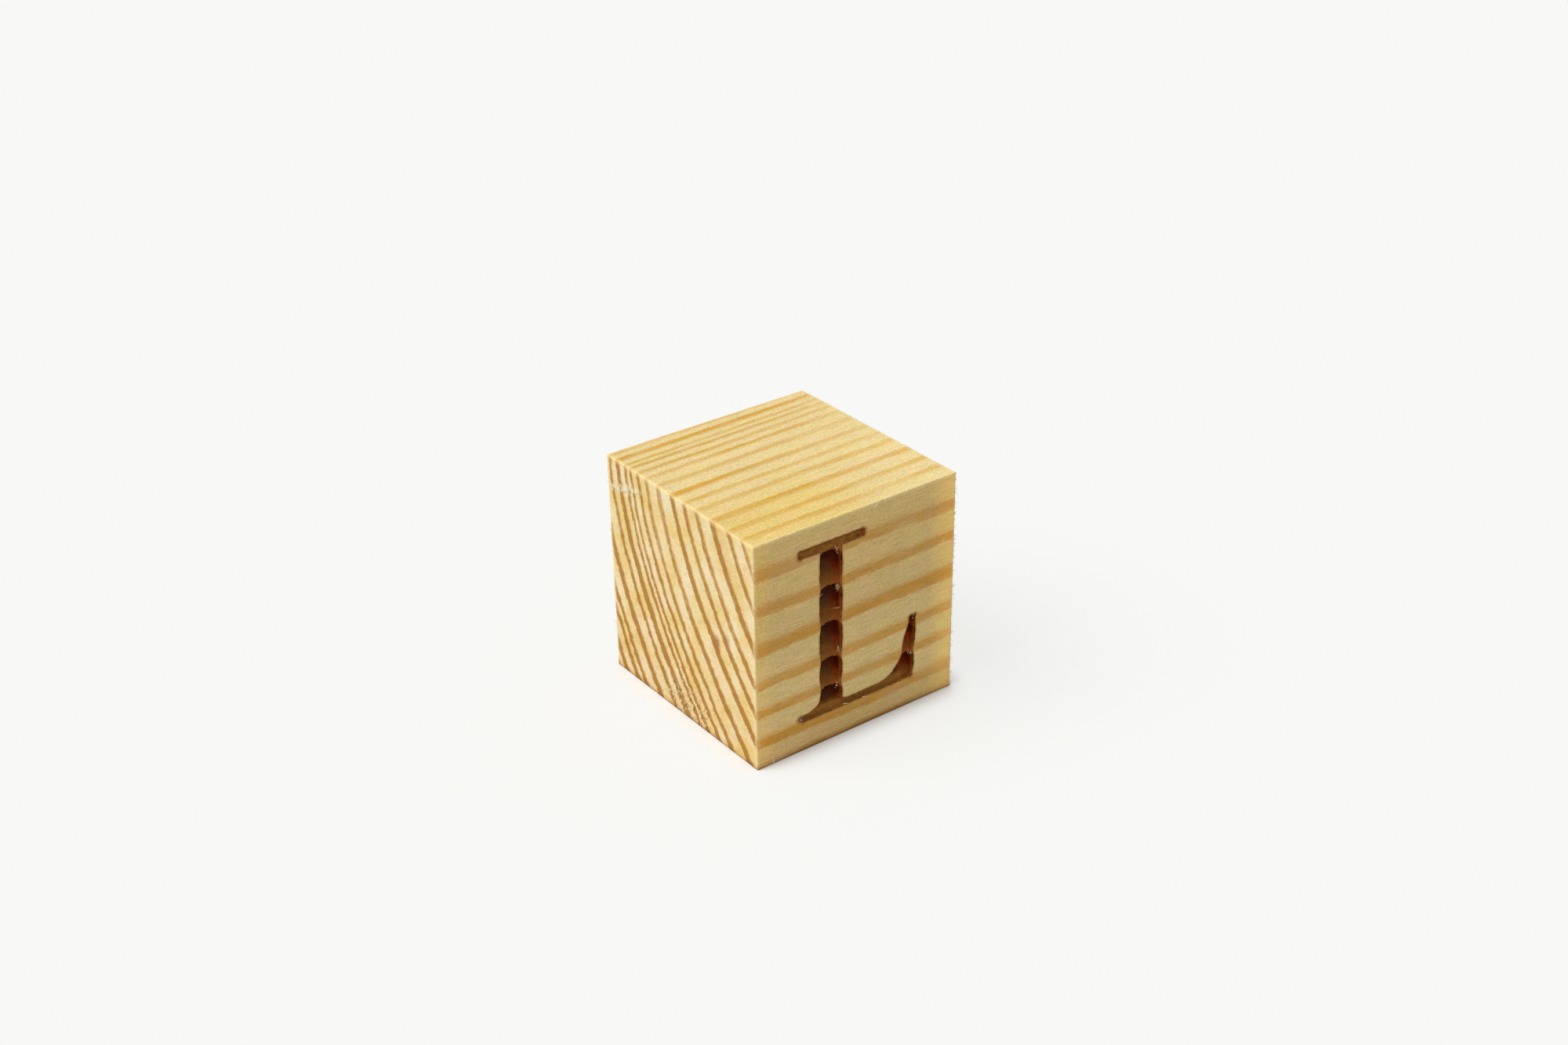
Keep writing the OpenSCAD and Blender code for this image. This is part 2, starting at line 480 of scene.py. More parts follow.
def inside(points, loop):
    """Which points lie inside a closed loop."""
    x = points[:, 0][:, None]
    z = points[:, 1][:, None]
    ax, az = loop[:, 0][None], loop[:, 1][None]
    bx, bz = np.roll(loop[:, 0], -1)[None], np.roll(loop[:, 1], -1)[None]
    crosses = (az > z) != (bz > z)
    at = ax + (z - az) * (bx - ax) / np.where(bz == az, 1e-9, bz - az)
    return (crosses & (x < at)).sum(axis=1) % 2 == 1


def gap_to(points, loop, with_index=False):
    """Distance from each point to the nearest point of a loop, and which point that is."""
    gaps, indices = [], []
    for part in np.array_split(points, max(1, len(points) // 500)):
        squares = ((part[:, None, :] - loop[None]) ** 2).sum(axis=2)
        indices.append(squares.argmin(axis=1))
        gaps.append(np.sqrt(squares.min(axis=1)))
    gap = np.concatenate(gaps)
    return (gap, np.concatenate(indices)) if with_index else gap


def triangulate(points, rim, outside=False):
    """Triangles over points in the plane, inside or outside the loop that the first ones form."""
    edges = [(i, (i + 1) % rim) for i in range(rim)]
    flat = [Vector((float(a), float(b))) for a, b in points]
    verts, _, faces, origins, _, _ = delaunay_2d_cdt(flat, edges, [], 0, 1e-7, True)
    if len(verts) != len(points):
        raise RuntimeError("the outline crosses itself, so the face can't be divided")
    order = [origin[0] for origin in origins]
    tris = np.array([[order[i] for i in face] for face in faces])
    centres = points[tris].mean(axis=1)
    return tris[inside(centres, points[:rim]) != outside]


def skirt(start_a, start_b, count):
    """Quads between two closed rings of the same number of points."""
    i = np.arange(count)
    j = (i + 1) % count
    return np.stack([start_b + i, start_b + j, start_a + j, start_a + i], axis=1)


class Letter:
    """The recess of the burnt letter: its wavy lip, its depth and its colour."""

    def __init__(self, sizes):
        self.lining = sizes.char_t
        self.rise = sizes.ridge_rise
        self.spur_tip = np.array([LETTER_RIGHT - 0.6, LETTER_SILL + sizes.spur_h - 0.8])
        self.head_line = LETTER_TOP - sizes.head_serif_t
        self.foot_line = LETTER_SILL + sizes.foot_serif_t
        corners = [(x + LETTER_LEFT, z + LETTER_SILL) for x, z in letter_corners(sizes)]
        base = resample(corners, sizes.outline_step)
        out = smooth_loop(loop_normals(base), 2)
        neck = np.exp(-(line_gap(ring_place(base[:, 0], -HALF, base[:, 1])) / 0.8) ** 2)
        wander = flat_noise(base, 1.3, 1) * 0.07 + flat_noise(base, 0.4, 2) * 0.035
        lower = (SIDE - base[:, 1]) / SIDE
        upright = out[:, 0] ** 2
        swell = (0.3 - neck) * sizes.scallop * upright * (0.25 + lower * 1.1)
        self.lip = base + out * smooth_loop(swell + wander, 3)[:, None]
        self.out = smooth_loop(loop_normals(self.lip), 3)
        self.inner = self.march(-MARCH_STEP)
        self.outer = self.march(MARCH_STEP)

    def march(self, step):
        """Loops ever further from the lip, eased so that corners never fold over."""
        loops = [self.lip]
        for _ in range(MARCH_COUNT):
            now = loops[-1] + smooth_loop(loop_normals(loops[-1]), 1) * step
            loops.append(smooth_loop(now, 2))
        return np.array(loops)

    def ring(self, inset):
        """The lip drawn in by a distance, or out where it is negative."""
        loops = self.inner if inset >= 0 else self.outer
        at = abs(inset) / MARCH_STEP
        low = min(int(at), len(loops) - 2)
        return loops[low] + (loops[low + 1] - loops[low]) * (at - low)

    def floor(self, points):
        """Depth of the charred floor below the side's face, how light and how red it is; the lightness
        carries painted shade below the ridges and under the upper lips, and painted light beside the left
        walls.
        """
        wall, nearest = gap_to(points, self.lip, True)
        out_x, out_z = self.out[nearest].T
        x, z = points.T
        # Steps at the dark lines, which sag towards the walls
        sag = np.exp(-wall / 0.6) * 0.75
        stray = flat_noise(points, 1.0, 12) * 0.25
        phase = ring_phase(ring_place(x, -HALF + 0.5, z + sag + stray))
        # The floor's lightness follows its climb from one ridge to the next: darker just below each ridge,
        # partly deeper char and partly painted shade where the ridge shades the floor.
        level = np.maximum(ramp(phase, 0.16, 0.7) ** 1.15, ramp(phase, 0.05, -0.05))
        level = level * (1 - np.exp(-((points - self.spur_tip) ** 2).sum(axis=1) / 1.6))
        lumps = flat_noise(points, 0.9, 3) * 0.09 + flat_noise(points, 0.3, 4) * 0.05
        deep = LETTER_DEPTH - self.lining - self.rise * level + lumps
        # The serifs, which are burnt less deep and less dark
        head = ramp(z, self.head_line - 0.25, 0.4)
        foot = ramp(z, self.foot_line + 0.7, -0.9)
        shallow = np.maximum(head, foot)
        deep = deep * (1 - 0.35 * shallow)
        # Painted light on the floor beside the left walls, and painted shadow under the upper lips.
        painted_wall_light = np.clip(-out_x, 0, 1) * np.exp(-wall / 1.0)
        under = np.clip(out_z, 0, 1) * np.exp(-(wall / 0.3) ** 2)
        patchy = flat_noise(points, 0.7, 13) * 0.3
        serifs = np.maximum(head * (1.22 + patchy), foot * (1.43 + patchy))
        level = np.maximum(level + painted_wall_light * 0.35, serifs) - under * 0.7
        # Red beside the right walls and in the spur
        red = np.clip(out_x, 0, 1) * np.exp(-wall / 1.1) * (1 - 0.3 * shallow)
        spur = ramp(x, self.spur_tip[0] - 2.6, 1.2) * (1 - head)
        red = np.maximum(red, spur * (0.75 - 0.25 * foot))
        return np.clip(deep, 0.3, LETTER_DEPTH - 0.06), level + spur * 0.22, red


# Sizes and colours that can be changed

def number_prop(name, description, default, **kind):
    """A number, with its unit or subtype."""
    return bpy.props.FloatProperty(name=name, description=description, default=default, **kind)


def length_prop(name, description, millimetres):
    """A length, given in millimetres and kept in metres."""
    return number_prop(name, description, millimetres * MM, unit="LENGTH")


def angle_prop(name, description, degrees):
    """An angle, given in degrees."""
    return number_prop(name, description, math.radians(degrees), subtype="ANGLE")


def colour_prop(name, description, *levels):
    """A colour, given as its red, green and blue look on a screen."""
    return bpy.props.FloatVectorProperty(
        name=name, description=description, default=rgb(*levels), size=3, subtype="COLOR")


class BlockSizes(bpy.types.PropertyGroup):
    """Sizes of the worn block and its letter."""

    stem_w: length_prop("Stem Width", "Width of the upright stem", 4.3)
    stem_inset: length_prop("Stem Inset", "From the foot's tip to the stem", 4.4)
    head_serif_t: length_prop("Head Serif", "Thickness of the head serif", 1.4)
    head_left_reach: length_prop("Head Left", "Reach of the head serif to the left", 4.2)
    head_right_reach: length_prop("Head Right", "Reach of the head serif to the right", 4.5)
    foot_serif_t: length_prop("Foot Serif", "Thickness of the foot serif and arm", 1.2)
    bracket_w: length_prop("Bracket Width", "Width of the foot's bracket", 3.2)
    bracket_h: length_prop("Bracket Height", "Height of the foot's bracket", 1.7)
    crotch_r: length_prop("Crotch Radius", "Radius between stem and arm", 0.7)
    arm_curve_r: length_prop("Arm Radius", "Radius between arm and spur", 5.0)
    spur_h: length_prop("Spur Height", "Height of the spur", 11.6)
    spur_top_w: length_prop("Spur Top", "Width of the spur at its top", 1.4)
    spur_taper: length_prop("Spur Taper", "How far the spur draws in at its foot", 0.6)
    spur_lean: angle_prop("Spur Lean", "Lean of the spur's inner side", 14.4)
    end_corner_r: length_prop("End Radius", "Radius of the serifs' ends", 0.35)
    foot_tip_slope: angle_prop("Foot Tip Slope", "Slope of the foot serif's end", 35)
    char_t: length_prop("Char Thickness", "Thickness of the charred wood", 0.2)
    ridge_rise: length_prop("Ridge Rise", "How far the dark lines stand out of the floor", 1.8)
    scallop: length_prop("Scallop", "How much more the soft wood burns at the lip", 0.3)
    outline_step: length_prop("Outline Step", "Spacing of the points along the lip", 0.14)
    edge_wear: length_prop("Edge Wear", "Mean radius of the worn edges", 0.26)
    face_steps: bpy.props.IntProperty(
        name="Face Steps", description="Even steps across each side", default=92, min=20, max=130)


class PineLook(bpy.types.PropertyGroup):
    """Colours of the bare pine."""

    early: colour_prop("Earlywood", "Soft pale wood along the grain", 239, 214, 151)
    late: colour_prop("Latewood", "Hard dark wood along the grain", 221, 169, 63)
    sapwood: colour_prop("Sapwood", "Bleached streaks along the grain", 240, 219, 172)
    canal: colour_prop("Canals", "Short dark resin canals along the grain", 140, 96, 52)
    end_early: colour_prop("End Earlywood", "Soft wood on the end grain", 249, 229, 190)
    end_gold: colour_prop("End Gold", "Yellow parts of the end grain", 241, 207, 126)
    end_tan: colour_prop("End Tan", "Soft side of the end grain's dark lines", 231, 192, 124)
    end_late: colour_prop("End Latewood", "Hard wood on the end grain", 176, 124, 38)
    end_ruddy: colour_prop("End Ruddy", "Redder stretches of that hard wood", 184, 112, 42)
    pale: colour_prop("Torn Wood", "Pale torn wood", 252, 236, 202)
    crevice: colour_prop("Crevice", "Shade between torn fibres", 112, 76, 30)
    fibre: colour_prop("Fibre", "Fibres that stand out of the wood", 255, 246, 222)
    # Painted glints: bright specks that stand in for light caught by loose fibres.
    glint: colour_prop("Glint", "Bright specks of loose fibre", 255, 248, 222)
    stain: colour_prop("Stain", "Reddish resin stains", 178, 112, 66)
    scorch: colour_prop("Scorch", "Wood browned beside the letter", 176, 118, 52)
    singe: colour_prop("Singe", "Wood browned darkest, at the lip", 120, 66, 26)


class CharLook(bpy.types.PropertyGroup):
    """Colours of the burnt letter."""

    # Soot goes where the char floor is darkest: deep char, together with painted shade below the ridges.
    soot: colour_prop("Soot", "Deepest char under the ridges", 68, 24, 9)
    brown: colour_prop("Brown", "Floor between the ridges", 104, 62, 24)
    ridge: colour_prop("Ridge", "Lightly burnt hard lines", 146, 88, 29)
    resin: colour_prop("Resin", "Red brown baked walls", 156, 50, 11)
    ember: colour_prop("Ember", "Orange brown high on the walls", 164, 78, 22)
    rim: colour_prop("Rim", "Lightest brown, at the lip", 172, 116, 46)


class StageLook(bpy.types.PropertyGroup):
    """Light, floor and camera."""

    sun_strength: number_prop("Key Strength", "Strength of the soft key light", 2.38)
    sun_spread: angle_prop("Key Spread", "Apparent size of the key light", 42)
    sun_from: bpy.props.FloatVectorProperty(
        name="Key From", description="Direction that the key light comes from", size=3,
        subtype="DIRECTION", default=(-0.58, 0.20, 0.79))
    sky: number_prop("Sky", "Strength of the light from all round", 0.40)
    floor_shade: number_prop("Floor", "Lightness of the floor as light bounces off it", 0.70)
    floor_glow: number_prop("Floor Glow", "Share of plain white in the floor as seen", 0.83)
    contact_reach: length_prop("Contact Reach", "How far the block darkens the floor beside it", 5.0)
    backdrop: colour_prop("Backdrop", "Colour of the floor and backdrop", 249, 249, 247)
    lens: number_prop("Lens", "Focal length in millimetres", 46.618)


def in_millimetres(group):
    """A group's values, its lengths in millimetres."""
    values = {name: getattr(group, name) for name in group.__annotations__}
    for name in values:
        if group.bl_rna.properties[name].unit == "LENGTH":
            values[name] /= MM
    return SimpleNamespace(**values)


# Materials

def wood_fields(graph):
    """What the pine's parts share: the place, the sides' masks, the rings and some noise."""
    x, y, z = graph.place()
    nx, ny, nz = graph.facing()
    field = graph.field
    down = SIDE - z
    end = abs(nx).smooth(0.55, 0.8)
    front = ny.smooth(-0.5, -0.8)
    place = ring_place(x, y, z) + field(0.05, 0.16, 1.0) * 0.25
    ragged = field(0.16, 0.7, 3.0, 0.6) * 0.15 + field(0.6, 3.0, 3.0, 0.7) * 0.24
    torn_edge = field(1.0, 0.8, 4.0, 0.65) * (0.24 + down.smooth(4.0, 34.0) * 0.16)
    crumbled = field(1.0, 3.5, 2.0, 0.6) * 0.16
    edge = ragged * (1 - end) + (torn_edge + crumbled) * end
    along = (x + HALF) * (1 / SIDE)
    return SimpleNamespace(
        x=x, y=y, z=z, back=HALF - y, down=down, place=place,
        end=end, near_end=end * nx.smooth(-0.5, -0.8), front=front, top=nz.smooth(0.5, 0.8),
        late=graph.latewood(place + edge, along, end * 0.6 + front * 0.6),
        cloud=field(0.07, 0.3, 3.0), grit=field(2.0, 3.2, 2.0, 0.6),
        mottle=field(0.5, 0.8, 3.0, 0.65))


def long_grain(graph, look, wood):
    """Colour, darkness and relief of the four sides that lie along the grain."""
    front, field = wood.front, graph.field
    fickle = graph.noise(wood.x * 0.07, wood.place * 0.45, 3.7, 2.0)
    dark = clamped(wood.late * (0.85 + front * 0.10 + fickle * (0.5 - front * 0.25)))
    fibre = field(0.3, 4.2, 3.0, 0.65)
    streak = field(0.10, 1.3, 3.0, 0.6)
    hue_drift = field(0.16, 0.8)
    colour = graph.mix(dark + streak.smooth(0.0, 1.2) * 0.30, look.early, look.late)
    lift = 1 + fibre * (0.20 + front * 0.05) + wood.cloud * 0.04 + streak * 0.05
    colour = graph.lit(colour, lift + wood.grit * (0.25 - front * 0.05))
    colour = graph.mix(field(0.10, 0.28, 3.0).smooth(0.0, 1.0) * 0.4, colour, look.sapwood)
    colour = graph.mix(field(1.3, 5.5, 1.0).smooth(0.95, 1.25) * 0.5, colour, look.canal)
    grey = dark * wood.top * wood.y.smooth(-4.0, 8.0) * (0.8 + hue_drift * 0.5)
    warm = dark * front * (0.85 + hue_drift * 0.5)
    # The first tint warms and darkens the whole letter side: painted shade for the side turned away from the
    # key light.
    for share, tint in (
            (front * 0.9, (1.0, 0.93, 0.86)),
            (grey, (0.99, 1.01, 1.18)),
            (warm, (0.97, 0.93, 1.12))):
        colour = graph.tinted(share, colour, tint)
    return colour, dark, fibre * 0.5 + streak * 0.35 + dark * 0.9


def end_grain(graph, look, wood):
    """Colour and relief of the two sawn ends."""
    x, y, z, back, down = wood.x, wood.y, wood.z, wood.back, wood.down
    near_end, mottle = wood.near_end, wood.mottle
    rays = graph.noise((down * 0.9 + back * 0.42) * 2.0, wood.place * 0.4, 1.3, 3.0, 0.6)
    pores = graph.field(0.5, 3.4, 3.0, 0.7)
    hue = graph.field(0.3, 0.16)
    saw = graph.noise(x * 0.2, y * 0.06, z * 1.9, 3.0, 0.7)
    uneven = 0.92 + mottle * 0.35 + hue * 0.25 + pores * 0.2 + down.smooth(6.0, 34.0) * 0.27
    dark = clamped(wood.late * uneven + mottle * 0.09 + rays * 0.07 + 0.03)
    ruddy = graph.noise(y * 0.35, z * 0.35, wood.place * 0.2, 3.0, 0.65).smooth(0.1, 0.7)
    line = graph.mix(ruddy, look.end_late, look.end_ruddy)
    colour = graph.mix((hue + mottle * 0.5).smooth(-0.7, 0.7), look.end_early, look.end_gold)
    colour = graph.mix(dark.smooth(0.0, 0.55) * 0.8, colour, look.end_tan)
    colour = graph.mix(dark.smooth(0.21, 1.18), colour, line)
    colour = graph.lit(colour, 1 + pores * 0.21 + mottle * 0.06 + rays * 0.09 + saw * 0.05)

    # The scratch, the torn patch, loose crumbs and resin stains
    crumbs = graph.noise(y * 1.7, z * 1.7, x, 4.0, 0.7)
    chips = graph.noise(y * 2.0, z * 1.5, x, 3.0, 0.75)
    scratch = spot(back, down + back * SCRATCH_SLOPE + crumbs * 0.35, *SCRATCH)
    torn = clamped(spot(back, down, *TEAR) + scratch * 1.2)
    torn = (torn * near_end * (crumbs + 0.75)).smooth(0.12, 0.6)
    scored = clamped(scratch * near_end * (chips * 1.8 + 0.55))
    loose = crumbs.smooth(0.5, 0.85) * down.smooth(6.0, 24.0) * near_end
    resin = clamped(spot(back, down, *STAIN) + spot(back, down, *SMALL_STAIN) * 0.6)
    for share, over in (
            (torn * chips.smooth(0.05, 0.45), look.pale),
            (torn * chips.smooth(-0.1, -0.5) * 0.9, look.crevice),
            (scored * 0.9, look.pale),
            (loose * 0.85, look.pale),
            (resin * near_end * (0.9 + crumbs * 0.5), look.stain)):
        colour = graph.mix(share, colour, over)
    tan_patch = spot(back - down * TAN_SLOPE, down, *TAN_PATCH) * near_end
    colour = graph.tinted(tan_patch * 0.8, colour, (0.94, 0.85, 0.70))
    colour = graph.tinted(down.smooth(22.0, 38.0), colour, (0.96, 0.93, 0.88))
    return colour, pores * 1.1 + dark + saw * 0.5 + torn * crumbs * 1.6


def side_tints(graph, wood, colour):
    """The broad casts of colour on the letter side and on top: the letter side yellower above, lighter lower
    down and darker towards the bottom, with paler bands by its left and right edges.
    """
    x, y, z, down, cloud = wood.x, wood.y, wood.z, wood.down, wood.cloud
    front, top = wood.front, wood.top
    blush = graph.field(0.22, 0.42, 3.0, 0.6).smooth(-0.7, 0.7)
    colour = graph.tinted(1.0, colour, graph.mix(blush, (0.98, 1.015, 0.93), (1.015, 0.99, 1.05)))
    left_rim = x.smooth(4.2 - HALF, 0.8 - HALF) * (0.85 + cloud * 0.3)
    right_rim = x.smooth(HALF - 6.0, HALF - 0.5) * (0.9 + cloud * 0.2)
    right_low = x.smooth(6.0, 14.0) * down.smooth(28.0, 32.0)
    golden = y.smooth(-2.0, -12.0) * x.smooth(9.0, -4.0) * 0.9
    bleached = y.smooth(6.0, -5.0) * x.smooth(6.0, 17.0)
    for share, tint in (
            (down.smooth(26.0, 6.0) * front, (1.0, 0.965, 0.84)),
            (down.smooth(17.0, 25.0) * front, (1.08, 1.09, 1.06)),
            (down.smooth(34.0, 37.5) * front, (0.94, 0.88, 0.82)),
            (left_rim * front, (1.17, 1.09, 0.90)),
            (right_rim * front, (1.38, 1.29, 1.04)),
            (right_low * front, (1.05, 1.05, 1.0)),
            (golden * top, (0.98, 0.925, 0.66)),
            (bleached * top, (1.03, 1.05, 1.05))):
        colour = graph.tinted(share, colour, tint)
    return colour


def rim_tints(graph, look, wood, colour):
    """The pale worn edges with a painted highlight along them, and the block's foot darkened by painted
    contact shade.
    """
    rim_x = abs(wood.x).smooth(HALF - 0.9, HALF - 0.1)
    rim_y = abs(wood.y).smooth(HALF - 0.9, HALF - 0.1)
    rim_z = wood.z.smooth(SIDE - 0.9, SIDE - 0.1)
    worn_rim_and_highlight = clamped(rim_x * rim_y + rim_y * rim_z + rim_z * rim_x)
    # Worn edges turn pale, which is wear, and are then made lighter still: a painted highlight along the
    # rounded edges.
    colour = graph.mix(worn_rim_and_highlight * (0.5 + wood.grit * 0.5), colour, look.early)
    colour = graph.lit(colour, 1 + worn_rim_and_highlight * (0.08 + wood.grit * 0.10))
    # Painted contact shade: the foot darkens towards the floor, less on the lit end, darkest in the last
    # half millimetre.
    foot = wood.z.smooth(1.4, 0.3) * (1 - wood.top) * (0.9 + wood.mottle * 0.3)
    foot = clamped(foot * (1 - abs(wood.x).smooth(9.0, 19.0) * wood.front * 0.6))
    colour = graph.tinted(foot * (1 - wood.end * 0.6), colour, (0.62, 0.40, 0.16))
    return graph.tinted(wood.z.smooth(0.5, 0.1) * (1 - wood.top), colour, (0.55, 0.48, 0.42))


def pine_material(look):
    """Solid pine: rings, fibres, rays, torn patches and the scorched lip."""
    graph = Graph(bpy.data.materials.new("pine"))
    wood = wood_fields(graph)
    long_colour, dark, long_relief = long_grain(graph, look, wood)
    end_colour, end_relief = end_grain(graph, look, wood)
    colour = side_tints(graph, wood, graph.mix(wood.end, long_colour, end_colour))
    colour = rim_tints(graph, look, wood, colour)
    # Painted glints: bright specks that stand in for light caught by loose fibres.
    glint = graph.field(2.2, 3.1, 1.0).smooth(0.85, 1.2)
    colour = graph.mix(glint * 0.6, colour, look.glint)
    scorch = graph.attribute("scorch")
    patchy = graph.noise(wood.x * 1.5, wood.y, wood.z * 1.5, 2.0)
    colour = graph.mix(clamped(scorch * (0.8 + patchy * 0.5)).smooth(0.05, 0.95), colour, look.scorch)
    colour = graph.mix(scorch.smooth(0.85, 1.0) * 0.55, colour, look.singe)
    height = long_relief * (1 - wood.end) + end_relief * wood.end
    roughness = 0.62 + wood.cloud * 0.04 + wood.end * 0.12 - dark * 0.08
    return graph.finish(colour, roughness, height, 0.022, 0.32)


def char_material(look):
    """Burnt wood: sooty floor, lighter ridges and resin-red walls."""
    graph = Graph(bpy.data.materials.new("charred_pine"))
    x, y, z = graph.place()
    light, red, high = (graph.attribute(name) for name in ("light", "red", "high"))
    grit = graph.field(2.4, 2.4, 4.0, 0.65)
    smear = graph.noise(x * 0.8, y * 0.5, z * 0.8, 2.0)
    fibre = graph.field(0.5, 5.0, 3.0, 0.6)
    # The floor's 'light' mark brings painted shade below the ridges and under the upper lips, and painted
    # light beside the left walls, into these tones.
    tone = light + grit * 0.08 + smear * 0.12
    floor = graph.mix(tone.smooth(0.02, 0.5), look.soot, look.brown)
    floor = graph.mix(tone.smooth(0.45, 1.0), floor, look.ridge)
    floor = graph.mix(tone.smooth(1.0, 1.4), floor, look.rim)
    baked = graph.mix(0.75, look.resin, look.soot)
    baked = graph.mix(tone.smooth(0.05, 0.75), baked, look.resin)
    baked = graph.mix(tone.smooth(0.4, 0.85), baked, look.ember)
    baked = graph.mix(tone.smooth(0.75, 1.05), baked, look.ridge)
    wall = (red + smear * 0.1).smooth(0.1, 0.7)
    colour = graph.mix(wall, floor, baked)
    glowing = (high + grit * 0.15 + smear * 0.1).smooth(0.0, 0.55) * wall
    colour = graph.mix(glowing, colour, look.ember)
    colour = graph.mix((high + grit * 0.12).smooth(0.5, 0.95), colour, look.rim)
    colour = graph.lit(colour, 1 + fibre * 0.22 + grit * 0.18)
    roughness = 0.66 - wall * 0.2 + grit * 0.08
    return graph.finish(colour, roughness, grit * 0.6 + fibre * 0.6, 0.05, 0.12)


def fibre_material(look, name, paleness):
    """Raw torn fibre, as pale as it is clean."""
    graph = Graph(bpy.data.materials.new(name))
    mottle = graph.field(1.5, 1.5)
    colour = graph.mix(paleness + mottle * 0.5, look.early, look.fibre)
    return graph.finish(colour, 0.7 + mottle * 0.05, mottle, 0.01, 0.3)


def floor_material(look):
    """A pale floor that keeps the block's shadow."""
    graph = Graph(bpy.data.materials.new("floor"))
    seen = graph.add("ShaderNodeLightPath", output="Is Camera Ray")
    nearby = {"Distance": look.contact_reach}
    open_sky = graph.add("ShaderNodeAmbientOcclusion", {"samples": 12}, nearby, output="AO")
    glow = open_sky.smooth(0.38, 1.0) * look.floor_glow
    plain = opaque([channel * look.floor_shade for channel in look.backdrop])
    matt = opaque([channel * 0.94 for channel in look.backdrop])
    shaded = graph.add("ShaderNodeBsdfDiffuse", inputs={"Color": matt})
    white = graph.add("ShaderNodeEmission", inputs={"Color": opaque(look.backdrop), "Strength": 1.0})
    shown = graph.add("ShaderNodeMixShader", inputs={0: glow, 1: shaded, 2: white})
    bounce = graph.add("ShaderNodeBsdfDiffuse", inputs={"Color": plain})
    surface = graph.add("ShaderNodeMixShader", inputs={0: seen, 1: bounce, 2: shown})
    graph.add("ShaderNodeOutputMaterial", inputs={"Surface": surface})
    return graph.owner


def sky_world(look):
    """Soft light from all round, which the camera sees as the plain backdrop."""
    graph = Graph(bpy.data.worlds.new("sky"))
    seen = graph.add("ShaderNodeLightPath", output="Is Camera Ray")
    soft = graph.add("ShaderNodeBackground", inputs={"Color": opaque((1, 1, 1)), "Strength": look.sky})
    plain = graph.add("ShaderNodeBackground", inputs={"Color": opaque(look.backdrop), "Strength": 1.0})
    surface = graph.add("ShaderNodeMixShader", inputs={0: seen, 1: soft, 2: plain})
    graph.add("ShaderNodeOutputWorld", inputs={"Surface": surface})
    return graph.owner


# Pieces

def side_grid(steps):
    """One side's grid, with lines close together where edges wear: its places and its quads."""
    band = np.array(EDGE_BAND)
    even = np.linspace(-HALF + EVEN_FROM, HALF - EVEN_FROM, steps)
    lines = np.concatenate([-HALF + band, even, HALF - band[::-1]])
    a, b = np.meshgrid(lines, lines, indexing="ij")
    n = len(lines)
    i, j = np.meshgrid(np.arange(n - 1), np.arange(n - 1), indexing="ij")
    quads = np.stack([i * n + j, (i + 1) * n + j, (i + 1) * n + j + 1, i * n + j + 1], axis=-1)
    return a.ravel(), b.ravel(), quads.reshape(-1, 4)


def letter_side(letter, grid):
    """The letter side's points as x and z, with the lip's rings let in, and its triangles."""
    rings = [letter.ring(-gap) for gap in COLLAR_GAPS]
    flat = [rings[0]]
    for ring, keep in zip(rings[1:], COLLAR_KEEPS):
        flat.append(ring[::2][gap_to(ring[::2], letter.lip) > keep])
    flat.append(grid[(gap_to(grid, letter.lip) > GRID_KEEP) & ~inside(grid, letter.lip)])
    flat = np.concatenate(flat)
    return flat, triangulate(flat, len(rings[0]), outside=True)


def worn(points, wear):
    """Points of a sharp cube's surface moved onto a cube with unevenly worn edges."""
    lumps = rough_noise(points, 3.1, 5) * 0.35 + rough_noise(points, 0.8, 6) * 0.3
    standing = np.clip(1.2 - points[:, 2] / 3, 0.35, 1)
    radius = np.clip(wear * (1 + lumps) * (1.35 - standing), 0.07, 0.6)
    centred = points - np.array([0, 0, HALF])
    core = np.clip(centred, -(HALF - radius)[:, None], (HALF - radius)[:, None])
    away = centred - core
    length = np.linalg.norm(away, axis=1)
    moved = core + away * (radius / np.maximum(length, 1e-6))[:, None]
    return moved + np.array([0, 0, HALF])


def relief(points, normals):
    """How far the surface lies below its flat face: broad and fine dips, rougher on the ends, and tears in
    the left end.
    """
    back, down = HALF - points[:, 1], SIDE - points[:, 2]
    end = np.abs(normals[:, 0])
    fine = np.abs(rough_noise(points, 0.6, 7))
    broad = np.abs(rough_noise(points, 4.5, 8))
    torn = sum(spot(back, down, *dip) for dip in TORN_DIPS) * (normals[:, 0] < -0.7)
    long_drop = broad * 0.02 + fine * 0.008
    end_drop = broad * 0.02 + fine * (0.02 + torn * 0.12)
    return long_drop * (1 - end) + end_drop * end


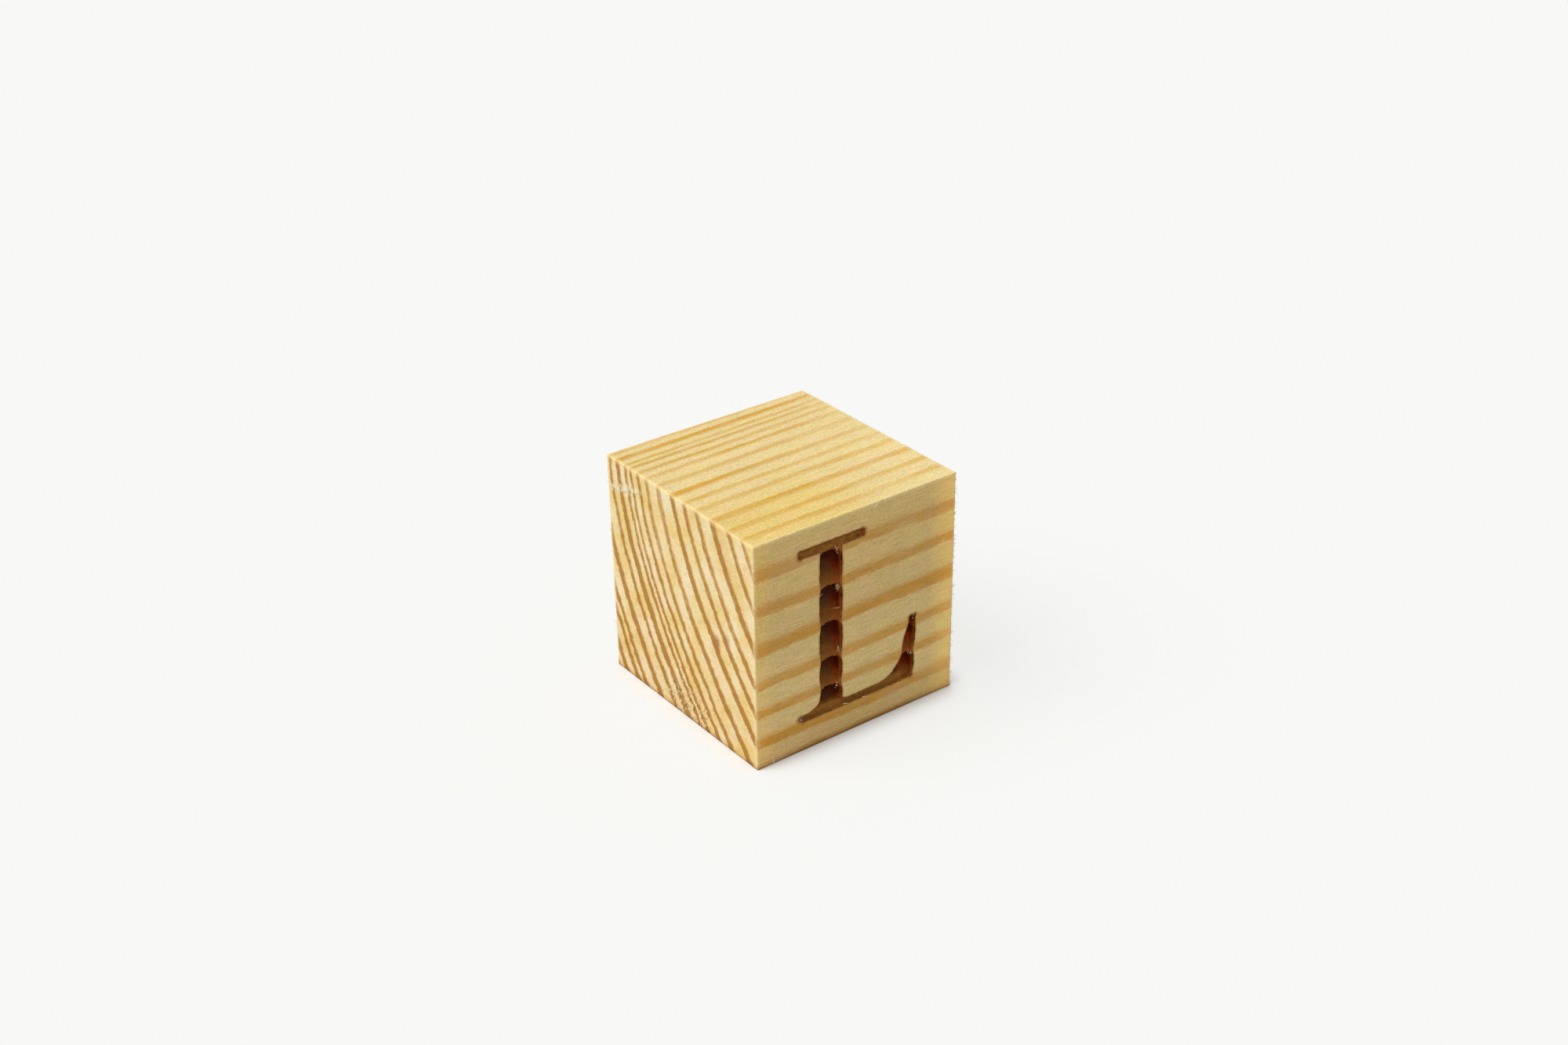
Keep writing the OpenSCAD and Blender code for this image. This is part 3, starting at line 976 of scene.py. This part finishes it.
class DressBlock(bpy.types.Operator):
    """Make the pine cube with worn edges, ring relief and the lip of the letter"""

    bl_idname = "alphabet_block.dress_block"
    bl_label = "Pine Block"

    def execute(self, context):
        scene = context.scene
        sizes = in_millimetres(scene.block_sizes)
        letter = Letter(sizes)
        a, b, quads = side_grid(sizes.face_steps)
        verts, faces, normals = [], [], []
        # The plain sides: the axis that each faces along, which way, and its columns' axis
        for axis, sign, second in ((0, 1, 2), (0, -1, 2), (1, 1, 2), (2, 1, 1), (2, -1, 1)):
            points = np.zeros((len(a), 3))
            points[:, axis] = sign * HALF
            points[:, 3 - axis - second] = a
            points[:, second] = b
            points[:, 2] += HALF
            faces += (quads + len(verts) * len(a)).tolist()
            verts.append(points)
            normals.append(np.tile(sign * np.eye(3)[axis], (len(a), 1)))
        face_start = len(verts) * len(a)
        flat, tris = letter_side(letter, np.stack([a, b + HALF], axis=1))
        faces += (tris + face_start).tolist()
        points = np.concatenate(verts + [at_depth(flat, 0)])
        normals = np.concatenate(normals + [np.tile((0, -1, 0), (len(flat), 1))])
        browned = ramp(gap_to(flat, letter.lip), BROWNED, -BROWNED_FADE) ** 1.5
        scorch = np.concatenate([np.zeros(face_start), browned])
        points = worn(points, sizes.edge_wear)
        points = points - normals * relief(points, normals)[:, None]

        # The recess, which the charred lining covers
        count = len(letter.lip)
        loops = [at_depth(letter.ring(-out), depth) for out, depth in RECESS_LOOPS]
        starts = [face_start] + [len(points) + k * count for k in range(len(loops))]
        points = np.concatenate([points] + loops)
        scorch = np.concatenate([scorch, np.ones(count * len(loops))])
        for upper, lower in zip(starts, starts[1:]):
            faces += skirt(upper, lower, count).tolist()
        faces += (triangulate(letter.ring(0.0), count) + starts[-1]).tolist()

        _, keep, back = np.unique(np.round(points, 4), axis=0, return_index=True, return_inverse=True)
        back = back.ravel()
        faces = [back[face].tolist() for face in faces]
        pine = pine_material(scene.pine_look)
        piece = make_mesh("pine_block", points[keep], faces, pine, {"scorch": scorch[keep]})
        recalculate(piece)
        seat(piece, "block")
        return {"FINISHED"}


class DressLetter(bpy.types.Operator):
    """Make the charred lining of the letter with its stepped floor"""

    bl_idname = "alphabet_block.dress_letter"
    bl_label = "Letter Lining"

    def execute(self, context):
        scene = context.scene
        letter = Letter(in_millimetres(scene.block_sizes))
        lip = letter.lip
        count = len(lip)
        flat = [lip]
        for inset in WALL_INSETS[1:]:
            ring = letter.ring(inset)
            ring = ring[inside(ring, lip)]
            flat.append(ring[gap_to(ring, lip) > inset * 0.8])
        low, high = lip.min(axis=0), lip.max(axis=0)
        columns, rows = (np.arange(low[k], high[k], CHAR_GRID) for k in (0, 1))
        grid = np.stack([places.ravel() for places in np.meshgrid(columns, rows)], axis=1)
        grid = grid[inside(grid, lip)]
        flat.append(grid[gap_to(grid, lip) > WALL_INSETS[-1] + CHAR_GRID * 0.4])
        flat = np.concatenate(flat)
        tris = triangulate(flat, count)

        floor_depth, light, red = letter.floor(flat)
        wall, nearest = gap_to(flat, lip, True)
        share = np.interp(wall, WALL_INSETS, WALL_SHARES)
        depth = LIP_DEPTH + (floor_depth - LIP_DEPTH) * share
        probe = np.stack([flat[:, 0], depth, flat[:, 1]], axis=1)
        rough = rough_noise(probe, 0.8, 9) * 0.06 + rough_noise(probe, 0.25, 10) * 0.03
        on_wall = np.clip(share * 6, 0, 1) * np.clip((1 - share) * 6, 0, 1)
        flat = flat + letter.out[nearest] * (rough * on_wall)[:, None]

        # The outer side of the lining, against the bare wood
        under = letter.ring(UNDER_INSET)
        verts = [at_depth(flat, depth)]
        for level in (LIP_DEPTH + UNDER_DROP, LETTER_DEPTH - UNDER_RISE):
            verts.append(at_depth(under, level))
        start = len(flat)
        faces = tris.tolist() + skirt(0, start, count).tolist()
        faces += skirt(start, start + count, count).tolist()
        faces += (triangulate(under, count) + start + count).tolist()
        marks = {"light": light, "red": red, "high": ramp(depth, LIP_DEPTH + BRIGHT_RIM, -BRIGHT_RIM)}
        marks = {name: np.append(values, np.zeros(2 * count)) for name, values in marks.items()}
        char = char_material(scene.char_look)
        piece = make_mesh("letter_lining", np.concatenate(verts), faces, char, marks)
        recalculate(piece)
        seat(piece, "letter_char")
        return {"FINISHED"}


class Fibres:
    """Tapering fibres that grow, one after another, into one piece's points and faces."""

    def __init__(self, seed):
        self.rng = np.random.default_rng(seed)
        self.points, self.faces = [], []

    def grow(self, root, heading, length, thick, curl, steps=6, sides=5):
        """Adds a fibre that bends as it goes and thins to a point, closed at both ends."""
        heading = np.array(heading, float)
        heading /= np.linalg.norm(heading)
        drift = self.rng.normal(size=3) * curl
        path = [np.array(root, float)]
        for _ in range(steps):
            heading = heading + drift / steps + self.rng.normal(size=3) * curl * 0.2
            heading /= np.linalg.norm(heading)
            path.append(path[-1] + heading * length / steps)
        taper = thick * (1 - 0.85 * np.linspace(0, 1, steps + 1) ** 1.5)
        foot = len(self.points)
        for k, centre in enumerate(path):
            ahead = Vector(path[min(k + 1, steps)] - path[max(k - 1, 0)]).normalized()
            side = ahead.orthogonal().normalized()
            up = ahead.cross(side)
            for i in range(sides):
                angle = 2 * math.pi * i / sides
                offset = (side * math.cos(angle) + up * math.sin(angle)) * taper[k]
                self.points.append(centre + np.array(offset))
        tip = foot + steps * sides
        for low in range(foot, tip, sides):
            self.faces += skirt(low + sides, low, sides).tolist()
        self.faces.append([foot + i for i in reversed(range(sides))])
        self.faces.append([tip + i for i in range(sides)])


class DressTornFibres(bpy.types.Operator):
    """Make the wisps that cling inside the burnt letter"""

    bl_idname = "alphabet_block.dress_torn_fibres"
    bl_label = "Torn Fibres"

    def execute(self, context):
        scene = context.scene
        sizes = in_millimetres(scene.block_sizes)
        fibres = Fibres(4)
        rng = fibres.rng
        cap = LETTER_HEIGHT
        right_wall = LETTER_LEFT + (sizes.stem_inset + sizes.stem_w)
        left_wall = LETTER_LEFT + sizes.stem_inset
        spur = LETTER_LEFT + LETTER_WIDTH
        # The long splinter across the stem
        root = (right_wall - 0.05, -HALF + 0.5, LETTER_SILL + cap * 0.585)
        fibres.grow(root, (-1, -0.12, 0.24), 1.85, 0.055, 0.1)
        # Tufts: where they cling, in from the face and up from the foot, how many, which way
        # they lie and how long they are
        tufts = (
            ((right_wall - 0.45, 0.45, cap * 0.925), 20, (-0.4, 0.2, 0.6), 0.55),
            ((right_wall - 0.40, 0.45, cap * 0.705), 18, (-0.4, 0.2, 0.7), 0.6),
            ((left_wall + 0.15, 0.20, cap * 0.71), 6, (0.1, 0.1, -0.9), 0.5),
            ((right_wall - 0.40, 0.40, cap * 0.345), 14, (-0.4, 0.1, 0.7), 0.5),
            ((left_wall + 0.10, 0.20, cap * 0.35), 5, (0.4, 0.1, -0.7), 0.4),
            ((right_wall - 0.55, 0.40, cap * 0.13), 14, (-0.5, 0.0, 0.6), 0.5),
            ((spur - 0.75, 0.40, cap * 0.135), 10, (-0.3, 0.1, 0.7), 0.5),
            ((spur - 0.35, 0.20, cap * 0.36), 8, (-0.3, 0.1, 0.5), 0.35),
            ((LETTER_LEFT + 0.45, 0.15, 0.75), 16, (0.6, 0.0, -0.7), 0.6),
        )
        for (x, inward, up), count, lie, length in tufts:
            root = np.array([x, -HALF + inward, LETTER_SILL + up])
            for _ in range(count):
                start = root + rng.normal(size=3) * (0.16, 0.1, 0.30)
                start[1] = max(start[1], -HALF + 0.08)
                heading = np.array(lie) + rng.normal(size=3) * 0.35
                heading[1] = abs(heading[1])
                reach = length * rng.uniform(0.5, 1.0)
                fibres.grow(start, heading, reach, rng.uniform(0.025, 0.06), 0.5)
        finish = fibre_material(scene.pine_look, "raw_fibre", 0.5)
        piece = make_mesh("torn_fibres_fine", fibres.points, fibres.faces, finish)
        seat(piece, "torn_fibres")
        return {"FINISHED"}


class DressEdgeFibres(bpy.types.Operator):
    """Make the fuzz that the saw left along the edges"""

    bl_idname = "alphabet_block.dress_edge_fibres"
    bl_label = "Edge Fibres"

    def execute(self, context):
        scene = context.scene
        fibres = Fibres(11)
        rng = fibres.rng
        inner = HALF - 0.12
        # Upright edges: their place, how many fibres they carry and which way those lie
        edges = (
            ((inner, -inner), 130, (1, -0.3)), ((-inner, -inner), 24, (-0.4, -1)),
            ((inner, inner), 60, (1, 0.3)), ((-inner, inner), 30, (-1, 0.3)),
        )
        for (x, y), count, lie in edges:
            for _ in range(count):
                root = (x, y, rng.uniform(0.4, SIDE - 0.4))
                heading = [part * 0.5 + rng.normal() * 0.2 for part in lie] + [rng.normal() * 0.7]
                reach = rng.uniform(0.3, 0.85)
                fibres.grow(root, heading, reach, rng.uniform(0.025, 0.055), 0.4, 4)
        # The ends' level edges, at the top and at the foot
        for z, up in ((SIDE - 0.12, 1), (0.14, -0.1)):
            for sign, count in ((-1, 34), (1, 90)):
                for _ in range(count):
                    root = (sign * inner, rng.uniform(-HALF + 0.4, HALF - 0.4), z)
                    heading = (sign * 0.3 + rng.normal() * 0.2, rng.normal(), up * abs(rng.normal()) * 0.25)
                    reach = rng.uniform(0.2, 0.5)
                    fibres.grow(root, heading, reach, rng.uniform(0.015, 0.035), 0.4, 4)
        # Single splinters that show on the letter side and on top
        singles = (
            ((3.3, -HALF + 0.03, SIDE - 0.9), (0.75, -0.1, 0.8), 1.2, 0.081),
            ((-16.8, -HALF + 0.03, 0.15), (-0.12, -0.06, 1.0), 1.7, 0.10125),
            ((11.4, -HALF + 0.02, 18.9), (0.6, -0.05, 0.75), 1.0, 0.0675),
            ((17.6, -HALF + 0.02, 28.4), (0.25, -0.06, 0.9), 0.9, 0.06075),
            ((19.1, -HALF + 0.03, 29.9), (0.5, -0.1, -0.6), 0.8, 0.06075),
            ((-2.8, -HALF + 0.02, 5.5), (1.0, -0.03, -0.15), 1.3, 0.081),
            ((1.2, -HALF + 0.02, 5.3), (1.0, -0.03, -0.2), 0.9, 0.0675),
            ((-0.2, -HALF + 0.02, 3.3), (0.6, -0.03, -0.7), 0.6, 0.0675),
            ((6.6, -1.2, SIDE - 0.02), (0.1, 0.9, 0.12), 0.9, 0.0675),
            ((9.6, -1.1, SIDE - 0.02), (0.5, 0.7, 0.10), 0.7, 0.0675),
        )
        for root, heading, length, thick in singles:
            fibres.grow(root, heading, length, thick, 0.15)
        points = [(x, y, max(z, 0.0)) for x, y, z in fibres.points]
        finish = fibre_material(scene.pine_look, "clean_fibre", 0.85)
        piece = make_mesh("edge_fibres", points, fibres.faces, finish)
        seat(piece, None)
        return {"FINISHED"}


def floor_piece(look):
    """A wide floor that curves up far behind the block."""
    profile = [(-FLOOR_REACH, 0.0), (0, 0.0), (BEND_START, 0.0)]
    for k in range(1, BEND_STEPS + 1):
        angle = math.pi / 2 * k / BEND_STEPS
        run = BEND_START + BEND_RADIUS * math.sin(angle)
        profile.append((run, BEND_RADIUS * (1 - math.cos(angle))))
    profile.append((profile[-1][0], FLOOR_REACH))
    verts, faces = [], []
    for run, height in profile:
        for offset in (-FLOOR_REACH, 0, FLOOR_REACH):
            verts.append((VIEW_X * run + VIEW_Y * offset, VIEW_Y * run - VIEW_X * offset, height))
    for k in range(len(profile) - 1):
        for c in (0, 1):
            faces.append((k * 3 + c, k * 3 + c + 1, (k + 1) * 3 + c + 1, (k + 1) * 3 + c))
    return make_mesh("floor", verts, faces, floor_material(look))


class SetStage(bpy.types.Operator):
    """Set the floor, the light and the camera"""

    bl_idname = "alphabet_block.set_stage"
    bl_label = "Stage"

    def execute(self, context):
        scene = context.scene
        look = scene.stage_look
        scene.view_settings.view_transform = "Standard"
        scene.world = sky_world(look)
        floor = floor_piece(look)

        lamp = bpy.data.lights.new("key", "SUN")
        lamp.energy = look.sun_strength
        lamp.angle = look.sun_spread
        key = bpy.data.objects.new("key", lamp)
        key.rotation_mode = "QUATERNION"
        key.rotation_quaternion = Vector(look.sun_from).to_track_quat("Z", "Y")
        scene.collection.objects.link(key)

        lens = bpy.data.cameras.new("camera")
        lens.sensor_width = 36
        lens.sensor_fit = "HORIZONTAL"
        lens.lens = look.lens
        lens.clip_start = 0.01
        camera = bpy.data.objects.new("camera", lens)
        turn = Matrix((CAMERA_RIGHT, -CAMERA_DOWN, -CAMERA_AHEAD)).transposed().to_4x4()
        camera.matrix_world = Matrix.Translation(CAMERA_PLACE * MM) @ turn
        scene.collection.objects.link(camera)
        scene.camera = camera
        return {"FINISHED"}


class BlockPanel(bpy.types.Panel):
    """Steps that dress the alphabet block"""

    bl_idname = "VIEW3D_PT_alphabet_block"
    bl_label = "Alphabet Block"
    bl_space_type = "VIEW_3D"
    bl_region_type = "UI"
    bl_category = "Alphabet Block"

    def draw(self, context):
        layout = self.layout
        for step in STEPS:
            layout.operator(step.bl_idname)
        for key in GROUPS:
            group = getattr(context.scene, key)
            for name in group.__annotations__:
                layout.prop(group, name)


STEPS = (SetStage, DressBlock, DressLetter, DressTornFibres, DressEdgeFibres)
GROUPS = {
    "block_sizes": BlockSizes,
    "pine_look": PineLook,
    "char_look": CharLook,
    "stage_look": StageLook,
}


def register():
    for name, group in GROUPS.items():
        bpy.utils.register_class(group)
        setattr(bpy.types.Scene, name, bpy.props.PointerProperty(type=group))
    for item in (*STEPS, BlockPanel):
        bpy.utils.register_class(item)


def unregister():
    for item in reversed((*STEPS, BlockPanel)):
        bpy.utils.unregister_class(item)
    for name, group in GROUPS.items():
        delattr(bpy.types.Scene, name)
        bpy.utils.unregister_class(group)


def main():
    register()
    bpy.ops.alphabet_block.set_stage()
    bpy.ops.alphabet_block.dress_block()
    bpy.ops.alphabet_block.dress_letter()
    bpy.ops.alphabet_block.dress_torn_fibres()
    bpy.ops.alphabet_block.dress_edge_fibres()


if __name__ == "__main__":
    main()
